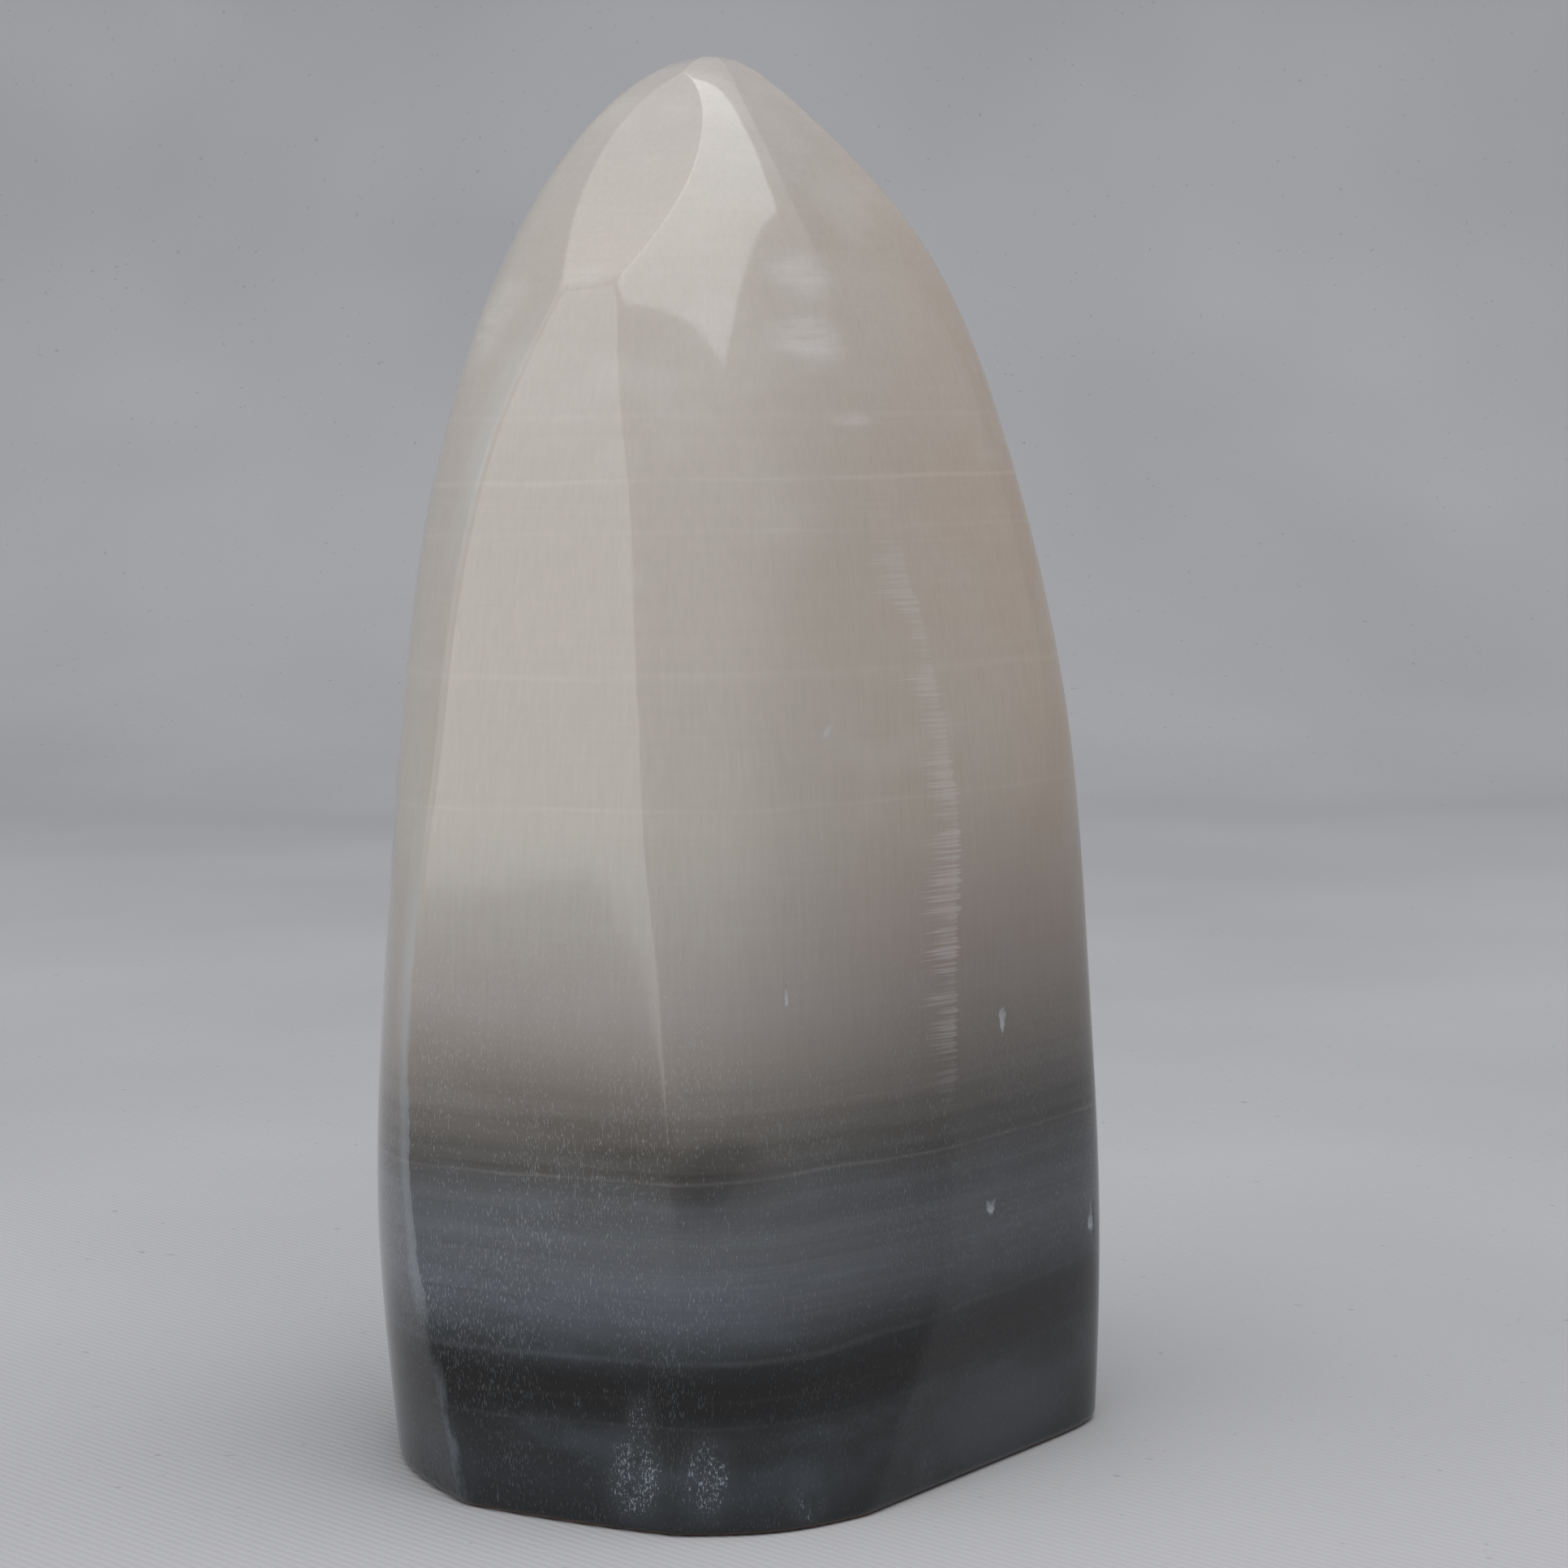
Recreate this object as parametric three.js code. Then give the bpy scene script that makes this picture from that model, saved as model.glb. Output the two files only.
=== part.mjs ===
// Calcite freeform: one stone of banded calcite, ground by hand to a rounded point and polished all over.
// It grew as a single piece, so it is one solid. It stands upright on the ground flat of its foot.
// Millimetres: +X is the viewer's right, +Y is away from the viewer, +Z is up, and the floor is Z = 0.
import * as THREE from 'three';

// How tall the stone stands, and how far its point sits off the upright that the faces are measured from.
const HEIGHT = 135;
const POINT_TO_THE_LEFT = 4;
const POINT_TO_THE_BACK = 3;

// The small rounding where the foot's flat meets the sides.
const FOOT_ROUNDING = 1;

// The heights at which each ground face is measured.
const MEASURED_AT = [0, 20, 45, 70, 95, 115, 128];

// The ground faces in order round the stone. 'looksTo' is the way a face looks, in degrees turned from the
// viewer to the right, and 'reach' is how far it stands from the upright at each measured height.
// The faces of one pass were rolled into each other on the wheel. A crisp ridge stands between two passes.
const FACES = [
  { pass: 'left', looksTo: -118, reach: [34.2, 35.8, 35.2, 33.4, 29.8, 23.6, 16.2] },
  { pass: 'left', looksTo: -86, reach: [35.2, 37.0, 36.2, 34.6, 31.0, 24.7, 16.6] },
  { pass: 'left', looksTo: -58, reach: [35.5, 37.8, 38.3, 35.4, 30.6, 22.4, 13.5] },
  { pass: 'left of the nose', looksTo: -34, reach: [35.0, 35.4, 35.2, 33.0, 28.8, 22.8, 14.6] },
  { pass: 'left of the nose', looksTo: -19, reach: [34.5, 34.4, 33.9, 32.1, 28.1, 22.5, 13.7] },
  { pass: 'nose', looksTo: -4, reach: [34.4, 34.6, 33.8, 31.0, 26.0, 19.4, 11.2] },
  { pass: 'nose', looksTo: 18, reach: [33.2, 32.9, 31.8, 29.3, 24.5, 17.5, 8.8] },
  { pass: 'nose', looksTo: 42, reach: [27.6, 25.7, 24.4, 23.3, 20.2, 14.1, 6.2] },
  { pass: 'right', looksTo: 54, reach: [24.6, 25.2, 24.6, 23.5, 19.2, 12.6, 4.8] },
  { pass: 'right', looksTo: 92, reach: [35.9, 36.0, 34.5, 32.2, 26.5, 18.6, 7.0] },
  { pass: 'right', looksTo: 122, reach: [35.4, 35.8, 34.4, 31.8, 26.4, 19.0, 9.6] },
  { pass: 'right', looksTo: 150, reach: [34.0, 34.4, 33.2, 30.8, 26.0, 19.6, 11.6] },
  { pass: 'back', looksTo: 178, reach: [33.2, 33.8, 32.9, 30.9, 27.0, 21.2, 14.0] },
  { pass: 'back', looksTo: -150, reach: [33.4, 34.2, 33.4, 31.4, 27.4, 21.4, 14.8] },
];

// One flat facet near the point, on the left of the nose. It leans back from upright by 'leansBack' degrees
// and lies at 'distance' from the middle of the frame's floor, measured square to the facet.
const TOP_FLAT = { looksTo: -32, leansBack: 38, distance: 87.7 };

// How tightly faces join: inside one pass they flow into each other, and between passes the edge is crisp.
const ROLLED_JOIN = 20;
const RIDGE_JOIN = 300;

// A face turned further than this from a direction, as a cosine, has no part in the outline there.
const TURNED_AWAY = 0.05;

// How finely the skin is divided, round the stone and up it, and the steps over the foot's rounding.
const COLUMNS = 76;
const ROWS = 40;
const ROUNDING_STEPS = 3;

// The top row of corners stops just under the point, at this share of the root of the stone's height.
const LAST_ROW = 0.04;

// Half of the columns are shared out by length round the outline, and half by how much the outline turns.
const SHARE_BY_TURNING = 0.5;
const OUTLINE_SAMPLES = 360;

const radians = THREE.MathUtils.degToRad;

// The height measured down from the point, as a root: it runs from 1 at the floor to 0 at the point.
// The sides close over the point as a smooth dome in this measure.
function rootBelowPoint(z) {
  return Math.sqrt(Math.max(0, 1 - z / HEIGHT));
}

// The leaning middle line, from the frame's middle on the floor up to the point.
function middleLine(z) {
  const rise = z / HEIGHT;
  return new THREE.Vector2(-POINT_TO_THE_LEFT * rise, POINT_TO_THE_BACK * rise);
}

function outward(degrees) {
  return new THREE.Vector2(Math.sin(radians(degrees)), -Math.cos(radians(degrees)));
}

// A smooth curve through the given points with no bend at its two ends.
function smoothCurve(xs, ys) {
  const last = xs.length - 1;
  const bend = new Array(xs.length).fill(0);
  const carry = new Array(xs.length).fill(0);
  for (let i = 1; i < last; i += 1) {
    const before = xs[i] - xs[i - 1];
    const after = xs[i + 1] - xs[i];
    const change = (ys[i + 1] - ys[i]) / after - (ys[i] - ys[i - 1]) / before;
    const pivot = 2 * (before + after) - before * carry[i - 1];
    carry[i] = after / pivot;
    bend[i] = (6 * change - before * bend[i - 1]) / pivot;
  }
  for (let i = last - 1; i > 0; i -= 1) {
    bend[i] -= carry[i] * bend[i + 1];
  }
  return (x) => {
    let i = 0;
    while (i < last - 1 && x > xs[i + 1]) {
      i += 1;
    }
    const step = xs[i + 1] - xs[i];
    const toNext = (xs[i + 1] - x) / step;
    const fromHere = 1 - toNext;
    const sag = (toNext ** 3 - toNext) * bend[i] + (fromHere ** 3 - fromHere) * bend[i + 1];
    return toNext * ys[i] + fromHere * ys[i + 1] + (sag * step * step) / 6;
  };
}

// Each face as a curve of its distance from the middle line, which shrinks to nothing at the point.
const faces = FACES.map((face) => {
  const normal = outward(face.looksTo);
  const roots = [0];
  const distances = [0];
  for (let i = MEASURED_AT.length - 1; i >= 0; i -= 1) {
    roots.push(rootBelowPoint(MEASURED_AT[i]));
    distances.push(face.reach[i] - normal.dot(middleLine(MEASURED_AT[i])));
  }
  return { pass: face.pass, normal, distance: smoothCurve(roots, distances) };
});

const passes = [...new Set(faces.map((face) => face.pass))].map((name) => (
  faces.filter((face) => face.pass === name)
));

// Distances to several faces along one line, joined into one that is never longer than the shortest.
function join(distances, tightness) {
  const met = distances.filter((distance) => Number.isFinite(distance));
  if (met.length === 0) {
    return Infinity;
  }
  const shortest = Math.min(...met);
  const sum = met.reduce((total, distance) => total + (shortest / distance) ** tightness, 0);
  return shortest * sum ** (-1 / tightness);
}

function distanceToFace(distance, cosine) {
  return cosine > TURNED_AWAY ? distance / cosine : Infinity;
}

function distanceToTopFlat(direction, z) {
  const lean = radians(TOP_FLAT.leansBack);
  const level = outward(TOP_FLAT.looksTo).multiplyScalar(Math.cos(lean));
  const left = TOP_FLAT.distance - level.dot(middleLine(z)) - Math.sin(lean) * z;
  return distanceToFace(left, level.dot(direction));
}

// How far the skin stands from the middle line, in one direction at one height.
function outline(direction, z) {
  const root = rootBelowPoint(z);
  const byPass = passes.map((pass) => join(
    pass.map((face) => distanceToFace(face.distance(root), face.normal.dot(direction))),
    ROLLED_JOIN,
  ));
  return join([...byPass, distanceToTopFlat(direction, z)], RIDGE_JOIN);
}

// How far the foot's rounding draws the skin in, from its full size on the floor to nothing above it.
function drawnIn(z) {
  const below = Math.max(0, 1 - z / FOOT_ROUNDING);
  return FOOT_ROUNDING * (1 - Math.sqrt(1 - below * below));
}

function skinPoint(direction, z) {
  const out = outline(direction, z) - drawnIn(z);
  const middle = middleLine(z);
  return new THREE.Vector3(middle.x + out * direction.x, middle.y + out * direction.y, z);
}

// The corners of one row, starting from the back. They crowd where the outline turns, so that a ridge
// stays an edge all the way up.
function rowOfCorners(z) {
  const directions = [];
  const points = [];
  for (let i = 0; i <= OUTLINE_SAMPLES; i += 1) {
    directions.push(outward(180 + (360 * i) / OUTLINE_SAMPLES));
    points.push(skinPoint(directions[i], z));
  }
  const lengths = [];
  const turnings = [];
  let before = points[0].clone().sub(points[OUTLINE_SAMPLES - 1]);
  for (let i = 1; i <= OUTLINE_SAMPLES; i += 1) {
    const along = points[i].clone().sub(points[i - 1]);
    lengths.push(along.length());
    turnings.push(along.angleTo(before));
    before = along;
  }
  const total = (values) => values.reduce((sum, value) => sum + value, 0);
  const allLength = total(lengths);
  const allTurning = total(turnings);
  const corners = [];
  let reached = 0;
  for (let i = 0; i < OUTLINE_SAMPLES && corners.length < COLUMNS; i += 1) {
    const byLength = (1 - SHARE_BY_TURNING) * (lengths[i] / allLength);
    const byTurning = SHARE_BY_TURNING * (turnings[i] / allTurning);
    const next = reached + byLength + byTurning;
    while (corners.length < COLUMNS && corners.length / COLUMNS < next) {
      const part = (corners.length / COLUMNS - reached) / (next - reached);
      const direction = directions[i].clone().lerp(directions[i + 1], part).normalize();
      corners.push(skinPoint(direction, z));
    }
    reached = next;
  }
  return corners;
}

// The heights of the rows: over the foot's rounding, and then closer together towards the point.
const heights = [];
for (let i = 0; i < ROUNDING_STEPS; i += 1) {
  heights.push(FOOT_ROUNDING * (1 - Math.cos((Math.PI / 2) * (i / ROUNDING_STEPS))));
}
const firstRow = rootBelowPoint(FOOT_ROUNDING);
for (let i = 0; i <= ROWS; i += 1) {
  const root = THREE.MathUtils.lerp(firstRow, LAST_ROW, i / ROWS);
  heights.push(HEIGHT * (1 - root * root));
}

// The closed skin: the rows, the point above them and the flat of the foot under them.
function stoneSkin() {
  const rows = heights.map(rowOfCorners);
  const point = middleLine(HEIGHT);
  const corners = rows.flat();
  const top = corners.push(new THREE.Vector3(point.x, point.y, HEIGHT)) - 1;
  const foot = corners.push(new THREE.Vector3(0, 0, 0)) - 1;
  const triangles = [];
  for (let column = 0; column < COLUMNS; column += 1) {
    const next = (column + 1) % COLUMNS;
    for (let row = 0; row < rows.length - 1; row += 1) {
      const a = row * COLUMNS + column;
      const b = row * COLUMNS + next;
      const c = a + COLUMNS;
      const d = b + COLUMNS;
      if (corners[a].distanceTo(corners[d]) < corners[b].distanceTo(corners[c])) {
        triangles.push(a, b, d, a, d, c);
      } else {
        triangles.push(a, b, c, b, d, c);
      }
    }
    const lastRow = (rows.length - 1) * COLUMNS;
    triangles.push(lastRow + column, lastRow + next, top);
    triangles.push(next, column, foot);
  }
  const skin = new THREE.BufferGeometry();
  skin.setAttribute('position', new THREE.Float32BufferAttribute(corners.flatMap((p) => p.toArray()), 3));
  skin.setIndex(triangles);
  return skin;
}

// The stone stands over the middle of the frame.
const skin = stoneSkin();
skin.computeBoundingBox();
const middle = skin.boundingBox.getCenter(new THREE.Vector3());
skin.translate(-middle.x, -middle.y, 0);
skin.computeVertexNormals();

const calcite = new THREE.MeshStandardMaterial({ color: 0xa39b94, roughness: 0.3, metalness: 0 });
const stone = new THREE.Mesh(skin, calcite);
stone.name = 'stone';

const part = new THREE.Group();
part.name = 'calcite_freeform';
part.add(stone);

export default part;
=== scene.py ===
import math

import bmesh
import bpy
import numpy as np
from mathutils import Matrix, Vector


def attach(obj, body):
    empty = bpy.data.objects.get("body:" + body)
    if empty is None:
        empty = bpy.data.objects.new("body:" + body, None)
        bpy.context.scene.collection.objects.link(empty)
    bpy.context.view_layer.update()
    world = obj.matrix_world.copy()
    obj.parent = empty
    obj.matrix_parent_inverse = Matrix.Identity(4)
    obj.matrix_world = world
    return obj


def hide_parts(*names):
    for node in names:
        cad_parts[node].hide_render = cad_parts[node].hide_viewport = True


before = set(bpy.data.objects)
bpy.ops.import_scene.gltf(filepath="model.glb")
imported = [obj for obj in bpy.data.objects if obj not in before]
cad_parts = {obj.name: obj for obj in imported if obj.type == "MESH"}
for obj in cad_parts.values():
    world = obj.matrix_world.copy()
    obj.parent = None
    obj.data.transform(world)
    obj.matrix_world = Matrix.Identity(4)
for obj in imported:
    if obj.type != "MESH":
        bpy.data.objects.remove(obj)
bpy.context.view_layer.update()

# The form of the stone
# A piece of banded calcite ground by hand on a wheel: broad bowed faces rolled into each other, crisp
# ridges between the passes, one small flat near the point and a flat foot with a worn rim.
HEIGHT = 135.0
POINT = np.array([-4.0, 3.0])
FOOT_ROUNDING = 1.0
MEASURED_AT = np.array([0.0, 20.0, 45.0, 70.0, 95.0, 115.0, 128.0])

# Each pass of the wheel, as its faces: the way a face looks, in degrees turned from the viewer to the
# right, and how far it stands from the upright at each measured height, in millimetres.
PASSES = {
    "left": [
        (-118, [34.2, 35.8, 35.2, 33.4, 29.8, 23.6, 16.2]),
        (-86, [35.2, 37.0, 36.2, 34.6, 31.0, 24.7, 16.6]),
        (-58, [35.5, 37.8, 38.3, 35.4, 30.6, 22.4, 13.5]),
    ],
    "left of the nose": [
        (-34, [35.0, 35.4, 35.2, 33.0, 28.8, 22.8, 14.6]),
        (-19, [34.5, 34.4, 33.9, 32.1, 28.1, 22.5, 13.7]),
    ],
    "nose": [
        (-4, [34.4, 34.6, 33.8, 31.0, 26.0, 19.4, 11.2]),
        (18, [33.2, 32.9, 31.8, 29.3, 24.5, 17.5, 8.8]),
        (42, [27.6, 25.7, 24.4, 23.3, 20.2, 14.1, 6.2]),
    ],
    "right": [
        (54, [24.6, 25.2, 24.6, 23.5, 19.2, 12.6, 4.8]),
        (92, [35.9, 36.0, 34.5, 32.2, 26.5, 18.6, 7.0]),
        (122, [35.4, 35.8, 34.4, 31.8, 26.4, 19.0, 9.6]),
        (150, [34.0, 34.4, 33.2, 30.8, 26.0, 19.6, 11.6]),
    ],
    "back": [
        (178, [33.2, 33.8, 32.9, 30.9, 27.0, 21.2, 14.0]),
        (-150, [33.4, 34.2, 33.4, 31.4, 27.4, 21.4, 14.8]),
    ],
}
TOP_FLAT_LOOKS = -32.0
TOP_FLAT_LEANS = 38.0
TOP_FLAT_DISTANCE = 87.7
ROLLED_JOIN = 20.0
RIDGE_JOIN = 260.0

# The hand's unevenness: each face swells and sinks by about this much along its height.
UNEVEN = 0.06
SLOW_SWELL = 8.1
QUICK_SWELL = 3.3
QUICK_SHARE = 0.35

# A face that looks away is never met. It counts as far off once its cosine is below the least one.
LEAST_COSINE = 0.05
FAR_OFF = 1e4

# The mesh of the skin. The last ring's size is the root of its share of the height below the point.
COLUMNS = 400
ROWS = 216
ROUNDING_STEPS = 6
LAST_RING = 0.02
OUTLINE_SAMPLES = 1800
SHARE_BY_TURNING = 0.45
MM = 0.001


def outward(degrees):
    turned = np.radians(degrees)
    return np.array([np.sin(turned), -np.cos(turned)])


def root_below_point(z):
    return np.sqrt(np.clip(1.0 - z / HEIGHT, 0.0, 1.0))


def middle_line(z):
    return (z / HEIGHT)[..., None] * POINT


def smooth_curve(xs, ys):
    """A smooth curve through the points, with no bend at its ends."""
    steps = np.diff(xs)
    bends = np.zeros(len(xs))
    matrix = np.diag(2.0 * (steps[:-1] + steps[1:]))
    matrix += np.diag(steps[1:-1], 1) + np.diag(steps[1:-1], -1)
    slopes = np.diff(ys) / steps
    bends[1:-1] = np.linalg.solve(matrix, 6.0 * np.diff(slopes))

    def value(x):
        i = np.clip(np.searchsorted(xs, x, side="left") - 1, 0, len(steps) - 1)
        to_next = (xs[i + 1] - x) / steps[i]
        here = 1.0 - to_next
        sag = (to_next**3 - to_next) * bends[i] + (here**3 - here) * bends[i + 1]
        return to_next * ys[i] + here * ys[i + 1] + sag * steps[i] ** 2 / 6.0

    return value


def face_curve(looks, reaches):
    heights = MEASURED_AT[::-1]
    from_middle = np.array(reaches)[::-1] - middle_line(heights) @ outward(looks)
    roots = np.concatenate([[0.0], root_below_point(heights)])
    return smooth_curve(roots, np.concatenate([[0.0], from_middle]))


def uneven(looks, z):
    fading = np.minimum(1.0, root_below_point(z) * 2.0)
    slow = np.sin(z / SLOW_SWELL + looks * 0.7)
    quick = QUICK_SHARE * np.sin(z / QUICK_SWELL + looks * 1.9)
    return UNEVEN * fading * (slow + quick)


def join(distances, tightness):
    distances = np.stack(distances)
    shortest = distances.min(0)
    return shortest * ((shortest / distances) ** tightness).sum(0) ** (-1.0 / tightness)


def distance_to(face_distance, cosine):
    met = face_distance / np.maximum(cosine, LEAST_COSINE)
    return np.where(cosine > LEAST_COSINE, met, FAR_OFF)


def distances_by_pass(angles, z):
    """How far each pass stands from the middle line: angles and heights are arrays of one shape."""
    directions = np.stack([np.sin(angles), -np.cos(angles)], -1)
    root = root_below_point(z)
    runs = {}
    for name, faces in PASSES.items():
        met = []
        for looks, reaches in faces:
            distance = face_curve(looks, reaches)(root) + uneven(looks, z)
            met.append(distance_to(distance, directions @ outward(looks)))
        runs[name] = join(met, ROLLED_JOIN)
    lean = math.radians(TOP_FLAT_LEANS)
    level = outward(TOP_FLAT_LOOKS) * math.cos(lean)
    left = TOP_FLAT_DISTANCE - middle_line(z) @ level - math.sin(lean) * z
    runs["top flat"] = distance_to(left, directions @ level)
    return runs


def outline(angles, z):
    """How far the skin stands from the middle line."""
    below = np.clip(1.0 - z / FOOT_ROUNDING, 0.0, 1.0)
    drawn_in = FOOT_ROUNDING * (1.0 - np.sqrt(1.0 - below**2))
    return join(list(distances_by_pass(angles, z).values()), RIDGE_JOIN) - drawn_in


def skin_points(angles, z):
    out = outline(angles, z)
    middle = middle_line(z)
    x = middle[..., 0] + out * np.sin(angles)
    y = middle[..., 1] - out * np.cos(angles)
    return np.stack([x, y, z], -1)


def column_angles(z):
    """The angles of the mesh columns at each height. They crowd where the outline turns, on the ridges."""
    samples = np.linspace(math.pi, 3.0 * math.pi, OUTLINE_SAMPLES + 1)
    grid, heights = np.meshgrid(samples, z)
    points = skin_points(grid, heights)
    along = np.diff(points, axis=1)
    length = np.linalg.norm(along, axis=2)
    way = along / length[..., None]
    turned = np.clip((way * np.roll(way, 1, axis=1)).sum(2), -1.0, 1.0)
    turning = np.arccos(turned)
    share = (1.0 - SHARE_BY_TURNING) * length / length.sum(1, keepdims=True)
    share += SHARE_BY_TURNING * turning / turning.sum(1, keepdims=True)
    reached = np.concatenate([np.zeros((len(z), 1)), np.cumsum(share, 1)], 1)
    wanted = np.arange(COLUMNS) / COLUMNS
    return np.stack([np.interp(wanted, row, samples) for row in reached])


steps = np.arange(ROUNDING_STEPS) / ROUNDING_STEPS
rounding_rows = FOOT_ROUNDING * (1.0 - np.cos(steps * math.pi / 2.0))
roots = np.linspace(root_below_point(np.array(FOOT_ROUNDING)), LAST_RING, ROWS)
row_heights = np.concatenate([rounding_rows, HEIGHT * (1.0 - roots**2)])
angles = column_angles(row_heights)
points = skin_points(angles, np.repeat(row_heights[:, None], COLUMNS, 1))
lowest = points.reshape(-1, 3).min(0)
highest = points.reshape(-1, 3).max(0)
TO_MIDDLE = (lowest + highest) / 2.0 * np.array([1.0, 1.0, 0.0])

corners = [tuple(p) for p in points.reshape(-1, 3) - TO_MIDDLE]
corners.append(tuple(np.append(POINT, HEIGHT) - TO_MIDDLE))
corners.append((0.0, 0.0, 0.0))
top = len(corners) - 2
foot = len(corners) - 1
last = (len(row_heights) - 1) * COLUMNS
patches_of_skin = []
for column in range(COLUMNS):
    after = (column + 1) % COLUMNS
    for start in range(0, last, COLUMNS):
        above = start + COLUMNS
        patches_of_skin.append((start + column, start + after, above + after, above + column))
    patches_of_skin.append((last + column, last + after, top))
    patches_of_skin.append((after, column, foot))

stone_mesh = bpy.data.meshes.new("calcite_stone")
stone_mesh.from_pydata([(x * MM, y * MM, z * MM) for x, y, z in corners], [], patches_of_skin)

# How far the skin is from two of the ridges: above nought on the nose, and on the left side. Past the
# ridge's reach it stays the same, and it is below nought where neither face is met.
RIDGES = [
    # name, the pass beyond the ridge, and the pass on this side of it
    ("right_ridge", "right", "nose"),
    ("left_ridge", "left of the nose", "left"),
]
RIDGE_REACH = 3.0
OUT_OF_REACH = 500.0
runs = distances_by_pass(angles, np.repeat(row_heights[:, None], COLUMNS, 1))
for name, beyond, this_side in RIDGES:
    past = np.clip(runs[beyond] - runs[this_side], -RIDGE_REACH, RIDGE_REACH)
    past[np.minimum(runs[beyond], runs[this_side]) > OUT_OF_REACH] = -RIDGE_REACH
    ridge = stone_mesh.attributes.new(name, "FLOAT", "POINT")
    ridge.data.foreach_set("value", np.append(past.ravel(), [-RIDGE_REACH, -RIDGE_REACH]))
stone_mesh.attributes.new("chip", "FLOAT", "POINT")

stone = bpy.data.objects.new("calcite_stone", stone_mesh)
bpy.context.scene.collection.objects.link(stone)

# The chips
# Small bruises where the stone was knocked: shallow shell-shaped scoops in the polished skin, with a
# rough white bottom. The mesh is made finer round each one before it is scooped out.
CHIPS = [
    # a place on the skin, then half width, half height and depth, in millimetres
    ((23.8, -8.9, 43.8), 0.5, 1.3, 0.3),
    ((22.2, -11.6, 25.9), 0.7, 0.45, 0.28),
    ((33.0, 3.7, 21.4), 0.7, 1.1, 0.35),
    ((2.9, -29.5, 47.9), 0.16, 0.85, 0.12),
    ((6.8, -24.8, 72.2), 0.3, 0.22, 0.12),
    ((-20.0, 27.0, 38.0), 0.6, 0.9, 0.28),
    ((9.0, 32.0, 20.0), 0.8, 0.5, 0.28),
    ((-34.0, 6.0, 54.0), 0.4, 0.8, 0.2),
]
CHIP_EDGE_UNEVEN = 0.16
CHIP_ROUNDNESS = 0.8
CHIP_RIPPLE = 0.25
BRUISE_SHARPNESS = 4.0
FINER_REACH = 1.7
FINER_ROUNDS = 2

bm = bmesh.new()
bm.from_mesh(stone_mesh)
for at, half_width, half_height, depth in CHIPS:
    wanted = (Vector(at) - Vector(TO_MIDDLE)) * MM
    centre = min(bm.verts, key=lambda v: (v.co - wanted).length)
    middle = centre.co.copy()
    bm.normal_update()
    out = centre.normal.copy()
    side = out.cross(Vector((0.0, 0.0, 1.0))).normalized()
    up = side.cross(out)
    reach = FINER_REACH * max(half_width, half_height) * MM
    for _ in range(FINER_ROUNDS):
        near = [e for e in bm.edges if all((v.co - middle).length < reach for v in e.verts)]
        bmesh.ops.subdivide_edges(bm, edges=near, cuts=1, use_grid_fill=True)
    marked = bm.verts.layers.float["chip"]
    for v in bm.verts:
        away = v.co - middle
        if away.length > reach:
            continue
        across = away.dot(side) / (half_width * MM)
        along = away.dot(up) / (half_height * MM)
        turn = math.atan2(along, across)
        edge = 1.0 + CHIP_EDGE_UNEVEN * (math.sin(3.0 * turn + at[2]) + 0.6 * math.sin(7.0 * turn))
        far = math.hypot(across, along) / edge
        if far < 1.0:
            shell = (1.0 - far**2) ** CHIP_ROUNDNESS * (1.0 + CHIP_RIPPLE * math.sin(9.0 * far + turn))
            v.co -= out * (depth * MM * shell)
            v[marked] = min(1.0, (1.0 - far) * BRUISE_SHARPNESS)
bm.to_mesh(stone_mesh)
bm.free()
stone_mesh.polygons.foreach_set("use_smooth", [True] * len(stone_mesh.polygons))

# The calcite
# Level layers laid down one on another: cream and taupe above, slate grey and near black at the foot,
# with fine fibres standing across them. It is polished to a soft gloss and lets a little light in.
calcite = bpy.data.materials.new("banded_calcite")
calcite.use_nodes = True
tree = calcite.node_tree
tree.nodes.clear()
links = tree.links


def node(kind, **settings):
    made = tree.nodes.new(kind)
    for name, value in settings.items():
        setattr(made, name, value)
    return made


def plug(socket, value):
    """Joins a socket to another node's output, or sets it to a plain value."""
    if isinstance(value, bpy.types.NodeSocket):
        links.new(value, socket)
    else:
        socket.default_value = value


def sum_of(kind, a, b=0.0, c=0.0, clamp=False):
    made = node("ShaderNodeMath", operation=kind, use_clamp=clamp)
    plug(made.inputs[0], a)
    plug(made.inputs[1], b)
    if kind == "MULTIPLY_ADD":
        plug(made.inputs[2], c)
    return made.outputs[0]


def noise(where, detail=2.0, rough=0.5):
    made = node("ShaderNodeTexNoise")
    plug(made.inputs["Vector"], where)
    made.inputs["Scale"].default_value = 1.0
    made.inputs["Detail"].default_value = detail
    made.inputs["Roughness"].default_value = rough
    return made.outputs["Fac"]


def stretched(where, x, y, z, shift=(0.0, 0.0, 0.0)):
    made = node("ShaderNodeMapping")
    plug(made.inputs["Vector"], where)
    made.inputs["Location"].default_value = shift
    made.inputs["Scale"].default_value = (x, y, z)
    return made.outputs["Vector"]


def ramp(value, stops):
    made = node("ShaderNodeValToRGB")
    plug(made.inputs["Fac"], value)
    elements = made.color_ramp.elements
    elements[0].position = stops[0][0]
    elements[0].color = stops[0][1]
    elements[1].position = stops[-1][0]
    elements[1].color = stops[-1][1]
    for at, colour in stops[1:-1]:
        added = elements.new(at)
        added.color = colour
    return made.outputs["Color"]


def shade_ramp(value, stops):
    return ramp(value, [(at, (v, v, v, 1.0)) for at, v in stops])


def mix(amount, a, b, kind="MIX"):
    made = node("ShaderNodeMix", data_type="RGBA", blend_type=kind)
    plug(made.inputs["Factor"], amount)
    plug(made.inputs["A"], a)
    plug(made.inputs["B"], b)
    return made.outputs["Result"]


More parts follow.
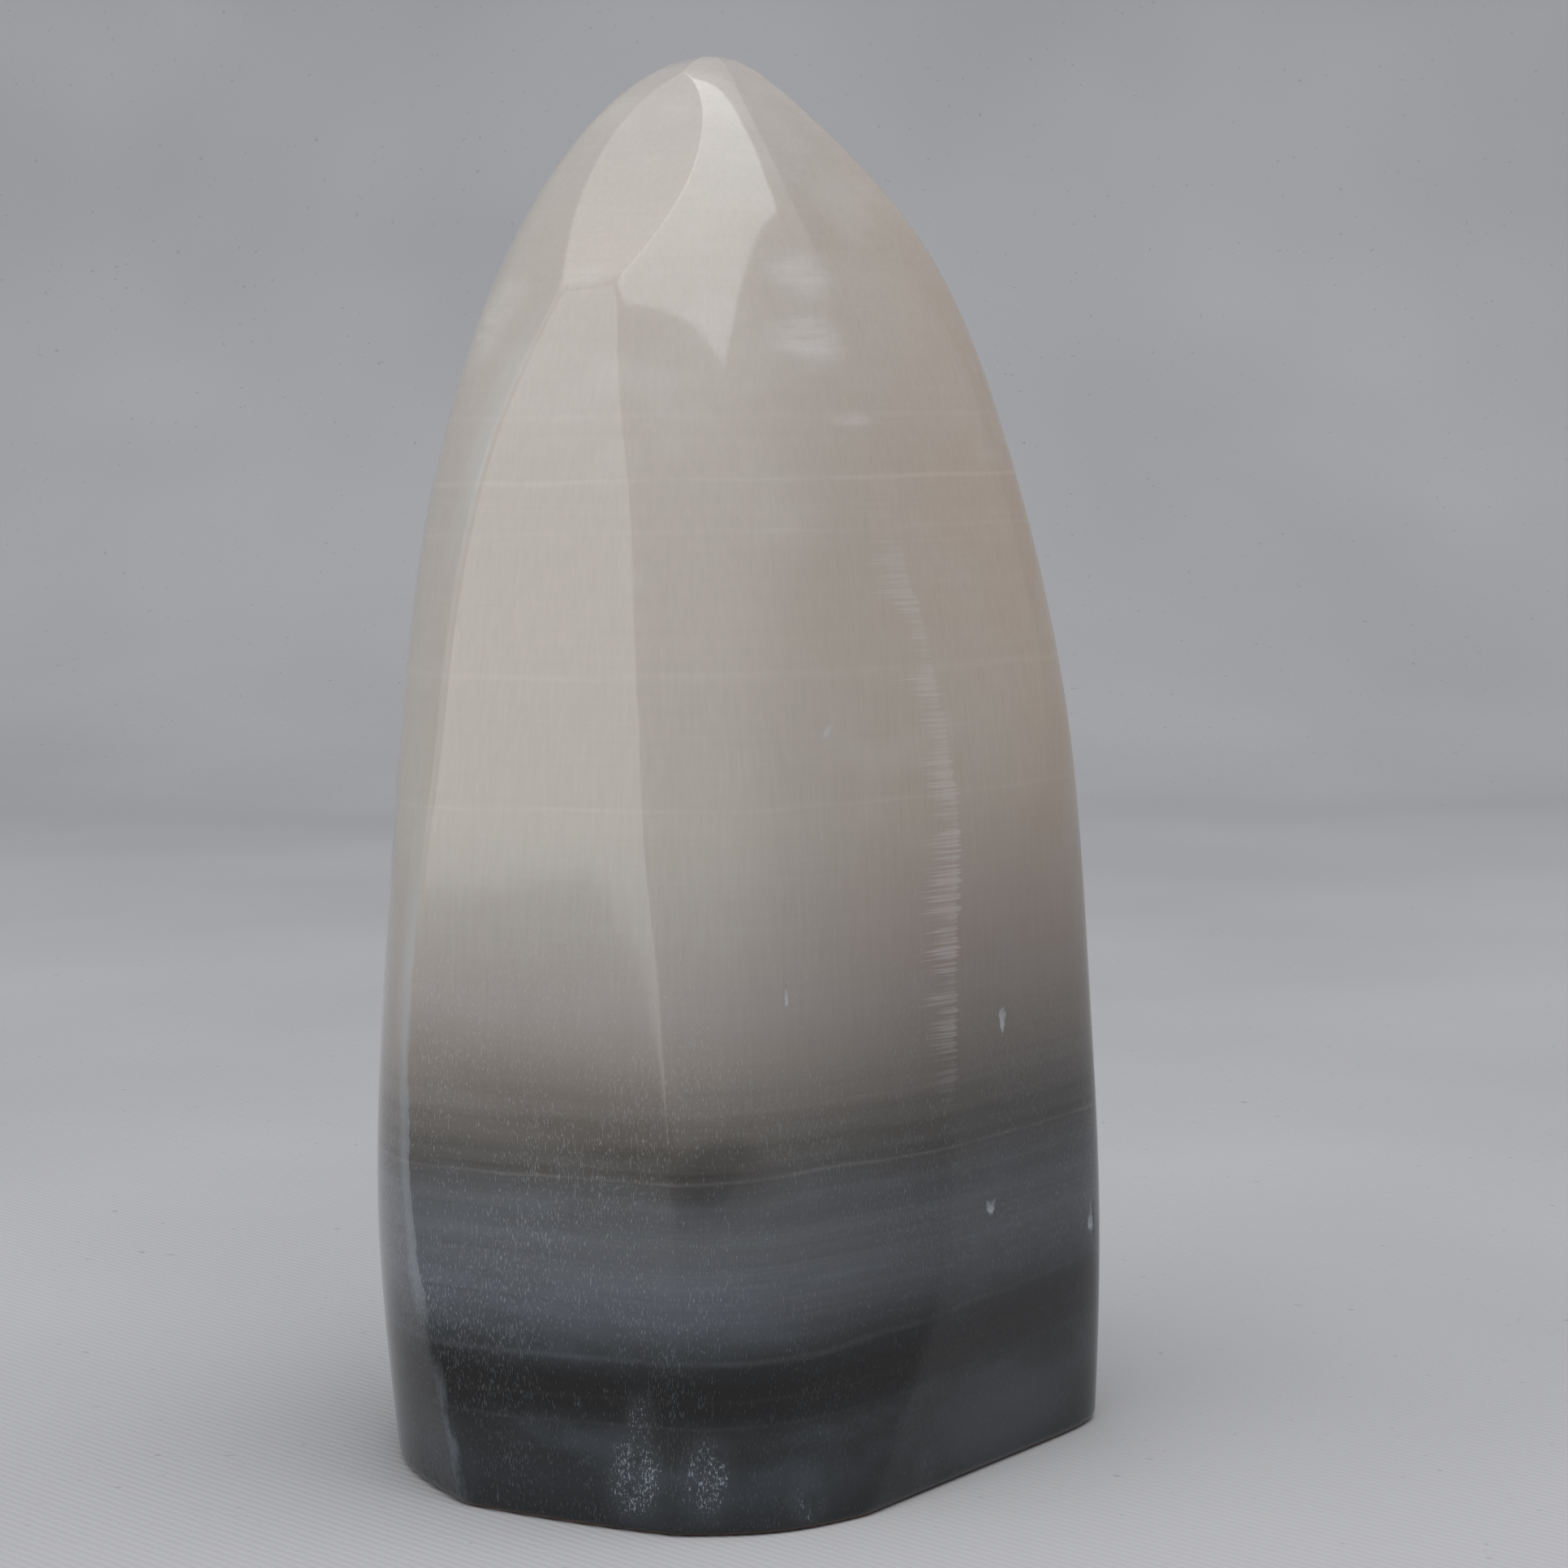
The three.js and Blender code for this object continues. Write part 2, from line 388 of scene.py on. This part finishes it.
def to_linear(hex_colour):
    """A colour as seen on a screen, such as c8beb4, as the light it stands for."""
    parts = [int(hex_colour[i : i + 2], 16) / 255.0 for i in (0, 2, 4)]
    light = [p / 12.92 if p < 0.04045 else ((p + 0.055) / 1.055) ** 2.4 for p in parts]
    return (*light, 1.0)


def spread(value, low, high, to_low=0.0, to_high=1.0, ease="SMOOTHSTEP"):
    """Runs from one value to the other as its input goes from low to high."""
    made = node("ShaderNodeMapRange", interpolation_type=ease)
    plug(made.inputs["Value"], value)
    made.inputs["From Min"].default_value = low
    made.inputs["From Max"].default_value = high
    made.inputs["To Min"].default_value = to_low
    made.inputs["To Max"].default_value = to_high
    return made.outputs["Result"]


def window(value, low, high, soft):
    """One between low and high, falling off softly outside."""
    rising = spread(value, low - soft, low + soft)
    falling = spread(value, high - soft, high + soft, 1.0, 0.0)
    return sum_of("MULTIPLY", rising, falling)


def place_in_mm():
    """Where a point of a surface is on its own object, in millimetres."""
    scaled = node("ShaderNodeVectorMath", operation="SCALE")
    links.new(node("ShaderNodeTexCoord").outputs["Object"], scaled.inputs[0])
    scaled.inputs["Scale"].default_value = 1.0 / MM
    return scaled.outputs["Vector"]


def parts_of(vector):
    split = node("ShaderNodeSeparateXYZ")
    links.new(vector, split.inputs[0])
    return split.outputs["X"], split.outputs["Y"], split.outputs["Z"]


def times(*values):
    total = values[0]
    for value in values[1:]:
        total = sum_of("MULTIPLY", total, value)
    return total


def blotch(at, half_width, half_height, soft=0.6):
    """A soft round mark on the skin, one in its middle and nothing beyond its edge."""
    where = Vector(at) - Vector(TO_MIDDLE)
    scale = (1.0 / half_width, 1.0 / half_width, 1.0 / half_height)
    shift = [-w * s for w, s in zip(where, scale)]
    far = node("ShaderNodeVectorMath", operation="LENGTH")
    links.new(stretched(place, *scale, shift), far.inputs[0])
    return spread(far.outputs["Value"], 1.0 - soft, 1.0, 1.0, 0.0)


def attribute(name):
    return node("ShaderNodeAttribute", attribute_name=name).outputs["Fac"]


def tint(colour, amount, hex_colour):
    return mix(amount, colour, to_linear(hex_colour))


def bumped(height):
    """The way a surface faces once it has this relief, which is given in millimetres."""
    bump = node("ShaderNodeBump")
    bump.inputs["Strength"].default_value = 1.0
    bump.inputs["Distance"].default_value = MM
    links.new(height, bump.inputs["Height"])
    return bump.outputs["Normal"]


place = place_in_mm()
x, y, z = parts_of(place)

# The layers dip a little to the left and to the back, and waver. Their heights are those at the front.
LAYERS_RISE_RIGHT = 0.016
LAYERS_RISE_FRONT = 0.02
FRONT_FROM_MIDDLE = 33.0
WIDE_WAVER = 1.5
FINE_WAVER = 0.35
wide_waver = noise(stretched(place, 0.03, 0.03, 0.05), 2.0)
fine_waver = noise(stretched(place, 0.12, 0.12, 0.2), 2.0)
level = sum_of("MULTIPLY_ADD", x, -LAYERS_RISE_RIGHT, z)
level = sum_of("MULTIPLY_ADD", y, LAYERS_RISE_FRONT, level)
level = sum_of("ADD", level, LAYERS_RISE_FRONT * FRONT_FROM_MIDDLE)
level = sum_of("MULTIPLY_ADD", sum_of("SUBTRACT", wide_waver, 0.5), WIDE_WAVER, level)
level = sum_of("MULTIPLY_ADD", sum_of("SUBTRACT", fine_waver, 0.5), FINE_WAVER, level)

# Below the thin pale layer they rise more steeply on the right.
STEEPER_RISE = 1.8
steeper = times(spread(x, 4.0, 32.0), spread(level, 18.0, 31.0, 1.0, 0.0))
level = sum_of("MULTIPLY_ADD", steeper, -STEEPER_RISE, level)
share = sum_of("DIVIDE", level, HEIGHT)

# The layers from the foot up: height in millimetres, and colour.
LAYERS = [
    (0.0, "181b1d"),
    (5.0, "1f2326"),
    (8.2, "1b1e1f"),
    (11.2, "030303"),
    (13.8, "040404"),
    (15.4, "141616"),
    (17.2, "303335"),
    (20.5, "515358"),
    (24.5, "5a5c60"),
    (29.0, "555658"),
    (32.4, "52504e"),
    (35.6, "635f5a"),
    (39.0, "7b7570"),
    (43.0, "8e8780"),
    (47.0, "9d9691"),
    (54.0, "aaa49e"),
    (64.0, "b8b2a9"),
    (82.0, "bab3aa"),
    (104.0, "bab3ab"),
    (120.0, "b7b1a9"),
    (135.0, "b2aca7"),
]
body = ramp(share, [(h / HEIGHT, to_linear(c)) for h, c in LAYERS])

# Fine layers, a hair thick: faint in the cream stone, plain to see in the dark foot.
thin = noise(stretched(place, 0.012, 0.012, 1.5), 3.0, 0.6)
hair = noise(stretched(place, 0.02, 0.02, 4.5), 2.0, 0.5)
bands = shade_ramp(thin, [(0.3, 0.85), (0.5, 1.0), (0.7, 1.18)])
hairs = shade_ramp(hair, [(0.35, 0.9), (0.5, 1.0), (0.65, 1.12)])
faint = spread(level, 24.0, 48.0, 0.42, 0.06)
body = mix(faint, body, bands, "MULTIPLY")
body = mix(faint, body, hairs, "MULTIPLY")

# Single layers that stand out: height, half thickness, how strongly, and colour.
SINGLE_LAYERS = [
    (32.4, 0.14, 0.18, "a39d94"),
    (33.1, 0.25, 0.3, "3a2d26"),
    (35.0, 0.5, 0.22, "3c3733"),
    (37.4, 0.6, 0.16, "453f3a"),
    (40.3, 0.5, 0.1, "544e49"),
    (22.6, 0.9, 0.12, "8a939c"),
    (27.0, 0.7, 0.1, "878e95"),
    (30.0, 0.5, 0.1, "878a8e"),
    (16.0, 0.25, 0.2, "5e6266"),
    (12.4, 0.18, 0.12, "3b3b36"),
    (10.0, 0.15, 0.2, "42433f"),
    (65.6, 0.18, 0.06, "f2ece6"),
    (77.5, 0.3, 0.05, "f2ece6"),
    (95.2, 0.18, 0.1, "f6f0ea"),
    (101.0, 0.25, 0.05, "f6f0ea"),
    (90.4, 0.2, 0.05, "f6f0ea"),
]
broken = spread(noise(stretched(place, 0.09, 0.09, 0.8), 2.0), 0.3, 0.6, 0.25, 1.0)
for height, half, strength, colour in SINGLE_LAYERS:
    line = window(level, height - half, height + half, half)
    body = tint(body, times(line, broken, strength), colour)

# The cream stone is cloudy: warmer and pinker on the right, greyer and whiter in places.
cloud = noise(stretched(place, 0.045, 0.045, 0.06), 3.0, 0.55)
warm = times(spread(cloud, 0.3, 0.7, 0.6, 1.0), spread(x, -4.0, 28.0, 0.04, 0.44))
warm = times(warm, spread(level, 34.0, 56.0))
body = mix(warm, body, to_linear("f4d3bd"), "MULTIPLY")
milk_cloud = noise(stretched(place, 0.06, 0.06, 0.11, (7.0, 3.0, 5.0)), 3.0, 0.55)
milky = times(spread(milk_cloud, 0.5, 0.75), spread(level, 40.0, 70.0), 0.08)
body = tint(body, milky, "eeebe8")

# Streaky white clouds that lie along the layers near the point.
STREAKY_CLOUDS = [
    # a place on the skin, half width, half height, and how strongly it shows
    ((4.9, -15.8, 113.4), 5.5, 3.6, 0.42),
    ((4.9, -17.6, 107.4), 6.0, 4.0, 0.5),
    ((-24.7, -7.2, 109.0), 5.5, 6.5, 0.35),
    ((-15.6, -17.0, 113.0), 4.0, 2.2, 0.14),
    ((10.2, -18.3, 100.2), 5.0, 0.8, 0.4),
    ((12.0, 20.0, 104.0), 10.0, 2.6, 0.22),
    ((-18.0, 22.0, 88.0), 11.0, 2.2, 0.2),
]
streaks = noise(stretched(place, 0.11, 0.11, 0.95), 4.0, 0.68)
streaks = spread(streaks, 0.3, 0.7, 0.25, 1.0)
for at, half_width, half_height, strength in STREAKY_CLOUDS:
    cloud_here = blotch(at, half_width, half_height, 0.8)
    body = tint(body, times(cloud_here, streaks, strength), "dbd7d6")

# A brown cloud low on the nose crosses the thin pale layer: partly the stone's own brown, partly painted
# reflection that widens the dark patch the nose reflects from the room below the table's edge.
brown_cloud_and_dark_reflection = blotch((-2.4, -33.8, 32.6), 6.0, 4.8, 0.55)
body = tint(body, times(brown_cloud_and_dark_reflection, 0.34), "2f2824")

# A faint upright grain runs through all of it.
upright_grain = noise(stretched(place, 2.4, 2.4, 0.14), 3.0, 0.6)
body = mix(0.35, body, shade_ramp(upright_grain, [(0.3, 0.88), (0.7, 1.06)]), "MULTIPLY")

# Blue-grey bloom in the slate layers and on the foot.
bloom_cloud = noise(stretched(place, 0.05, 0.05, 0.12, (2.0, 9.0, 4.0)), 3.0, 0.6)
beside_black_layer = sum_of("SUBTRACT", 1.0, window(level, 10.2, 15.4, 1.6))
bloom_heights = times(spread(level, 1.0, 7.0, 0.2, 1.0), spread(level, 30.0, 36.0, 1.0, 0.0))
bloom_heights = times(bloom_heights, beside_black_layer)
bloom = times(spread(bloom_cloud, 0.42, 0.7), bloom_heights, 0.14)
body = tint(body, bloom, "76818d")
low_right = blotch((24.0, -9.0, 4.6), 17.0, 7.0, 0.8)
body = tint(body, times(low_right, spread(cloud, 0.3, 0.6, 0.3, 1.0), 0.3), "6c757f")

# Painted shade: the right side is darker, the more so the lower it lies, as it faces away from the light.
painted_shade_right = times(spread(x, -1.0, 25.0), spread(level, 34.0, 78.0, 0.52, 0.0))
body = mix(painted_shade_right, body, to_linear("6d6d70"), "MULTIPLY")

# Painted highlight beside the ridge on the right of the nose: the light's reflection there breaks into
# short white ticks along the layers.
from_ridge = attribute("right_ridge")
tick_noise = noise(stretched(place, 0.06, 0.06, 3.4), 2.0, 0.6)
tick_cloud = noise(stretched(place, 0.05, 0.05, 0.3), 3.0, 0.6)
tick_length = times(spread(tick_noise, 0.34, 0.68, 0.3, 1.1), spread(tick_cloud, 0.3, 0.7, 0.35, 1.2))
inside_painted_tick = spread(sum_of("SUBTRACT", from_ridge, tick_length), -0.5, 0.12, 1.0, 0.0)
over_ridge = sum_of("MULTIPLY_ADD", sum_of("SUBTRACT", tick_noise, 0.5), 0.8, from_ridge)
on_nose = spread(over_ridge, -0.02, 0.05)
painted_tick_heights = window(z, 40.0, 88.0, 7.0)
painted_tick_strength = times(spread(tick_noise, 0.32, 0.62, 0.06, 0.2), spread(tick_cloud, 0.35, 0.65, 0.5, 1.25))
at_the_right = spread(x, 1.0, 5.0)
body = tint(body, times(inside_painted_tick, on_nose, painted_tick_heights, painted_tick_strength, at_the_right), "dcd9d8")

# Painted reflection along the ridge at the left, where the left face reflects the light: a pale, uneven
# edge above the black layer, and a smeared white strip below it.
from_left_ridge = attribute("left_ridge")
strip_noise = noise(stretched(place, 0.5, 0.5, 0.28), 3.0, 0.6)
strip_edge = sum_of("MULTIPLY_ADD", sum_of("SUBTRACT", strip_noise, 0.5), 0.7, from_left_ridge)
painted_reflection_strip = times(spread(strip_edge, -0.12, -0.06), spread(strip_edge, 0.3, 1.5, 1.0, 0.0))
at_the_left = spread(x, -18.0, -12.0, 1.0, 0.0)
painted_reflection_strip = times(painted_reflection_strip, window(level, 19.0, 46.0, 3.0), at_the_left, 0.34)
body = tint(body, painted_reflection_strip, "9aa2a7")
edge_reflection_heights = sum_of("MAXIMUM", window(level, 44.0, 60.0, 8.0), window(level, 90.0, 106.0, 8.0))
painted_edge_reflection = times(spread(strip_edge, -0.1, 0.3), spread(strip_edge, 0.4, 2.8, 1.0, 0.0), edge_reflection_heights)
body = tint(body, times(painted_edge_reflection, at_the_left, 0.24), "cfd6da")
painted_low_reflection = times(spread(strip_edge, -0.5, -0.05), spread(strip_edge, 0.05, 0.6, 1.0, 0.0), at_the_left)
painted_low_reflection = times(painted_low_reflection, window(level, 1.0, 13.0, 3.0), spread(strip_noise, 0.35, 0.6), 0.22)
body = tint(body, painted_low_reflection, "949ca3")

# Fibres stand upright across the layers, as fine light hairs. They show most at the left, and in the slate
# layers below the cream stone.
fibre_noise = noise(stretched(place, 11.0, 11.0, 1.9), 1.0, 0.5)
fibre_where = noise(stretched(place, 0.13, 0.13, 0.09), 3.0, 0.6)
front_left = spread(x, -34.0, 26.0, 1.0, 0.35)
fibre_heights = spread(level, 44.0, 72.0, 1.0, 0.3)
fibre_limit = sum_of("MULTIPLY_ADD", spread(fibre_where, 0.35, 0.65), -0.07, 0.665)
fibres = spread(sum_of("SUBTRACT", fibre_noise, fibre_limit), 0.0, 0.06)
fibres = times(fibres, fibre_heights, front_left)
fibre_strength = times(spread(level, 14.0, 20.0, 0.12, 0.3), fibres)
body = tint(body, fibre_strength, "bcc1c6")

# Pitted, bruised white patches low on the stone, where it has stood and been handled.
PITTED_PATCHES = [
    # a place on the skin, half width, half height, and how strongly it shows
    ((-10.6, -32.4, 5.2), 4.6, 6.8, 0.95),
    ((-10.2, -32.5, 10.2), 2.4, 4.4, 0.75),
    ((-4.2, -33.6, 5.4), 3.8, 6.2, 0.9),
    ((5.0, -31.1, 2.7), 3.0, 3.6, 0.75),
    ((15.7, -19.8, 2.2), 3.0, 3.5, 0.55),
    ((-29.3, -21.4, 5.0), 6.0, 6.0, 0.6),
    ((-26.6, -25.4, 3.0), 1.8, 7.0, 0.7),
    ((-33.0, 4.0, 4.0), 8.0, 5.0, 0.6),
    ((6.0, 32.0, 5.0), 8.0, 6.0, 0.7),
    ((30.0, 14.0, 4.0), 7.0, 5.0, 0.5),
]
patches = 0.0
for at, half_width, half_height, strength in PITTED_PATCHES:
    here = times(blotch(at, half_width, half_height, 0.7), strength)
    patches = sum_of("MAXIMUM", patches, here)
smear_noise = noise(stretched(place, 0.4, 0.4, 0.22), 4.0, 0.65)
patches = times(patches, spread(smear_noise, 0.28, 0.5, 0.3, 1.0))
speckle = noise(stretched(place, 6.5, 6.5, 2.4), 3.0, 0.7)
pit_limit = sum_of("MULTIPLY_ADD", patches, -0.28, 0.78)
pits = spread(sum_of("SUBTRACT", speckle, pit_limit), 0.0, 0.11)
body = tint(body, times(patches, 0.07), "8d949b")
body = tint(body, times(pits, 0.72), "a4acb4")

# A thin warm brown line runs round the foot, where it meets the table.
warm_foot_line = times(window(z, -0.2, 0.34, 0.14), spread(cloud, 0.35, 0.6, 0.25, 0.6))
body = tint(body, warm_foot_line, "8a5d3e")

# The bottoms of the chips are bruised white.
chip = attribute("chip")
body = tint(body, times(chip, 0.55), "ccd0d5")

# The polish: glossy, a little duller where it has been handled, and dull in the pits and chips.
POLISHED = 0.06
HANDLED = 0.1
PIT_DULLER = 0.3
PATCH_DULLER = 0.12
CHIP_DULLER = 0.4
handling = noise(stretched(place, 0.09, 0.09, 0.06, (4.0, 1.0, 8.0)), 3.0, 0.6)
rough = spread(handling, 0.3, 0.7, POLISHED, HANDLED)
rough = sum_of("MULTIPLY_ADD", pits, PIT_DULLER, rough)
rough = sum_of("MULTIPLY_ADD", patches, PATCH_DULLER, rough)
rough = sum_of("MULTIPLY_ADD", chip, CHIP_DULLER, rough, clamp=True)

# The relief of the finish, in millimetres: grain, fibre ends, pits and a slow unevenness.
GRAIN_HIGH = 0.0035
FIBRE_HIGH = 0.006
PIT_DEEP = 0.03
SWELL_HIGH = 0.02
CHIP_ROUGH = 0.08
grain = noise(stretched(place, 3.2, 3.2, 0.12), 2.0, 0.5)
swell = noise(stretched(place, 0.22, 0.22, 0.1), 2.0)
relief = times(grain, GRAIN_HIGH)
relief = sum_of("MULTIPLY_ADD", fibres, FIBRE_HIGH, relief)
relief = sum_of("MULTIPLY_ADD", pits, -PIT_DEEP, relief)
relief = sum_of("MULTIPLY_ADD", swell, SWELL_HIGH, relief)
relief = sum_of("MULTIPLY_ADD", times(chip, speckle), CHIP_ROUGH, relief)

# How strongly calcite bends light, and how it lets some in: a few millimetres deep, red the furthest.
BENDS_LIGHT = 1.5
LIGHT_LET_IN = 0.35
LIGHT_DEPTH = 3.0 * MM
DEPTH_BY_COLOUR = (1.0, 0.85, 0.7)
shader = node("ShaderNodeBsdfPrincipled")
links.new(body, shader.inputs["Base Color"])
links.new(rough, shader.inputs["Roughness"])
links.new(bumped(relief), shader.inputs["Normal"])
shader.inputs["IOR"].default_value = BENDS_LIGHT
shader.inputs["Subsurface Weight"].default_value = LIGHT_LET_IN
shader.inputs["Subsurface Radius"].default_value = DEPTH_BY_COLOUR
shader.inputs["Subsurface Scale"].default_value = LIGHT_DEPTH
out = node("ShaderNodeOutputMaterial")
links.new(shader.outputs["BSDF"], out.inputs["Surface"])
stone_mesh.materials.append(calcite)

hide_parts("stone")
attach(stone, "root")

# The table and the backdrop
# A pale twill cloth lies on the table and ends a hand's length in front of the stone, on a slant. Behind
# the stone it sweeps up into a plain backdrop. Sizes are in metres, the relief of the weave in millimetres.
CLOTH_FRONT = -0.205
CLOTH_SLANT = -0.24
CLOTH_HALF_WIDTH = 1.6
SWEEP_BACK = 0.95
SWEEP_TOP = 1.6
BEND = 0.35
BEND_STEPS = 16
TWILL_FINENESS = 0.42
TWILL_WAVER = 0.6
TWILL_HIGH = 0.04
SLUB_HIGH = 0.05
WEAVE_FADES_BY = 60.0

pale_cloth = bpy.data.materials.new("pale_cloth")
pale_cloth.use_nodes = True
tree = pale_cloth.node_tree
links = tree.links
in_cloth = place_in_mm()
twill = node("ShaderNodeTexWave", wave_type="BANDS", bands_direction="DIAGONAL")
links.new(stretched(in_cloth, 1.0, 1.0, 0.0), twill.inputs["Vector"])
twill.inputs["Scale"].default_value = TWILL_FINENESS
twill.inputs["Distortion"].default_value = TWILL_WAVER
slubs = noise(stretched(in_cloth, 0.5, 2.0, 1.0), 3.0)
flecks = spread(noise(stretched(in_cloth, 0.55, 0.55, 0.55), 2.0), 0.7, 0.76)
creases = noise(stretched(in_cloth, 0.008, 0.008, 0.008), 2.0)
shade = shade_ramp(creases, [(0.35, 0.95), (0.65, 1.04)])
cloth_colour = mix(1.0, to_linear("acabad"), shade, "MULTIPLY")
cloth_colour = mix(times(flecks, 0.3), cloth_colour, to_linear("5c5c60"))
cloth_height = parts_of(in_cloth)[2]
on_table = spread(cloth_height, 0.0, WEAVE_FADES_BY, 1.0, 0.1)
woven = times(twill.outputs["Fac"], TWILL_HIGH)
woven = sum_of("MULTIPLY_ADD", slubs, SLUB_HIGH, woven)
surface = tree.nodes["Principled BSDF"]
links.new(cloth_colour, surface.inputs["Base Color"])
links.new(bumped(times(woven, on_table)), surface.inputs["Normal"])
surface.inputs["Roughness"].default_value = 0.9
surface.inputs["Specular IOR Level"].default_value = 0.2

# The cloth has the same outline, from front to back, all along its width. Only its front edge slants.
profile = [(CLOTH_FRONT, 0.0), (SWEEP_BACK - BEND, 0.0)]
for step in range(1, BEND_STEPS + 1):
    turn = step / BEND_STEPS * math.pi / 2.0
    profile.append((SWEEP_BACK - BEND + BEND * math.sin(turn), BEND - BEND * math.cos(turn)))
profile.append((SWEEP_BACK, SWEEP_TOP))
cloth_corners = []
for i, (forth, up) in enumerate(profile):
    slant = CLOTH_SLANT * CLOTH_HALF_WIDTH if i == 0 else 0.0
    cloth_corners.append((-CLOTH_HALF_WIDTH, forth - slant, up))
    cloth_corners.append((CLOTH_HALF_WIDTH, forth + slant, up))
strips = [(2 * i, 2 * i + 1, 2 * i + 3, 2 * i + 2) for i in range(len(profile) - 1)]
cloth_mesh = bpy.data.meshes.new("cloth_sweep")
cloth_mesh.from_pydata(cloth_corners, [], strips)
cloth_mesh.polygons.foreach_set("use_smooth", [True] * len(strips))
cloth_mesh.materials.append(pale_cloth)
cloth = bpy.data.objects.new("cloth_sweep", cloth_mesh)
bpy.context.scene.collection.objects.link(cloth)

# The light
# A large soft light overhead and a tall lit panel at the front left, in an otherwise dim room. The
# overhead light hangs level, in front of the stone and to its right, and is turned by 65 degrees.
OVERHEAD_WIDTH = 1.5
OVERHEAD_DEPTH = 1.2
OVERHEAD_RADIANCE = 2.17
OVERHEAD_AT = (0.13, -0.4, 1.1)
OVERHEAD_TURN = math.radians(65.0)
lamp = bpy.data.lights.new("overhead_light", "AREA")
lamp.shape = "RECTANGLE"
lamp.size = OVERHEAD_WIDTH
lamp.size_y = OVERHEAD_DEPTH
lamp.energy = OVERHEAD_RADIANCE * math.pi * OVERHEAD_WIDTH * OVERHEAD_DEPTH
overhead = bpy.data.objects.new("overhead_light", lamp)
bpy.context.scene.collection.objects.link(overhead)
overhead.location = OVERHEAD_AT
overhead.rotation_euler = (0.0, 0.0, OVERHEAD_TURN)

# The side light is a lit panel that stands upright at the front left. Its lower edge is level, and drops at
# the end nearer the viewer. Corners: along the panel towards the viewer, and up, in metres.
PANEL_AWAY = 1.15
PANEL_TURN = math.radians(-58.0)
PANEL_CORNERS = [
    (-0.42, 0.09),
    (0.16, 0.077),
    (0.465, -0.146),
    (0.465, 1.05),
    (-0.42, 1.05),
]
PANEL_RADIANCE = 1.85
to_panel = Vector((math.sin(PANEL_TURN), -math.cos(PANEL_TURN), 0.0))
along_panel = Vector((math.cos(PANEL_TURN), math.sin(PANEL_TURN), 0.0))
panel_mesh = bpy.data.meshes.new("side_light_panel")
panel_corners = [to_panel * PANEL_AWAY + along_panel * u + Vector((0.0, 0.0, v)) for u, v in PANEL_CORNERS]
panel_mesh.from_pydata(panel_corners, [], [tuple(range(len(PANEL_CORNERS)))])
panel = bpy.data.objects.new("side_light_panel", panel_mesh)
bpy.context.scene.collection.objects.link(panel)
lit = bpy.data.materials.new("lit_panel")
lit.use_nodes = True
lit_surface = lit.node_tree.nodes["Principled BSDF"]
lit_surface.inputs["Base Color"].default_value = (0.0, 0.0, 0.0, 1.0)
lit_surface.inputs["Emission Color"].default_value = (1.0, 1.0, 1.0, 1.0)
lit_surface.inputs["Emission Strength"].default_value = PANEL_RADIANCE
panel_mesh.materials.append(lit)

# The room is dark below the table's edge, and lighter higher up and to the left.
world = bpy.data.worlds.new("dim_room")
bpy.context.scene.world = world
world.use_nodes = True
ROOM_COLOUR = (0.91, 0.955, 1.0, 1.0)
ROOM_AT_LEFT = 1.28
ROOM_AT_RIGHT = 0.8
ROOM_LIGHT = [
    # how steeply a look rises, from straight down to straight up, and how light the room is there
    (-1.0, 0.05),
    (-0.13, 0.02),
    (-0.1, 0.5),
    (0.2, 0.46),
    (0.6, 0.55),
    (1.0, 0.6),
]
tree = world.node_tree
links = tree.links
to_right, _, rise = parts_of(node("ShaderNodeTexCoord").outputs["Generated"])
rise_share = sum_of("MULTIPLY_ADD", rise, 0.5, 0.5)
by_height = shade_ramp(rise_share, [((steep + 1.0) / 2.0, value) for steep, value in ROOM_LIGHT])
by_side = spread(to_right, -1.0, 1.0, ROOM_AT_LEFT, ROOM_AT_RIGHT, "LINEAR")
room_light = tree.nodes["Background"]
room_light.inputs["Color"].default_value = ROOM_COLOUR
links.new(times(by_height, by_side), room_light.inputs["Strength"])

# The camera
# It stands a little above the middle of the stone and looks slightly down on it, square from the front.
# Its place was found before the stone was moved to the middle of the frame, so it moves with the stone.
CAMERA_AT = Vector((0.0028, -0.3615, 0.1))
LOOKS_DOWN = 5.54
LENS = 85.7
SENSOR_WIDTH = 36.0
stone_moved = Vector((-TO_MIDDLE[0] * MM, -TO_MIDDLE[1] * MM, 0.0))
view = bpy.data.cameras.new("photo_view")
view.lens = LENS
view.sensor_width = SENSOR_WIDTH
view.clip_start = 0.01
camera = bpy.data.objects.new("photo_view", view)
bpy.context.scene.collection.objects.link(camera)
camera.location = CAMERA_AT + stone_moved
camera.rotation_euler = (math.radians(90.0 - LOOKS_DOWN), 0.0, 0.0)
bpy.context.scene.camera = camera
bpy.context.scene.view_settings.view_transform = "Standard"
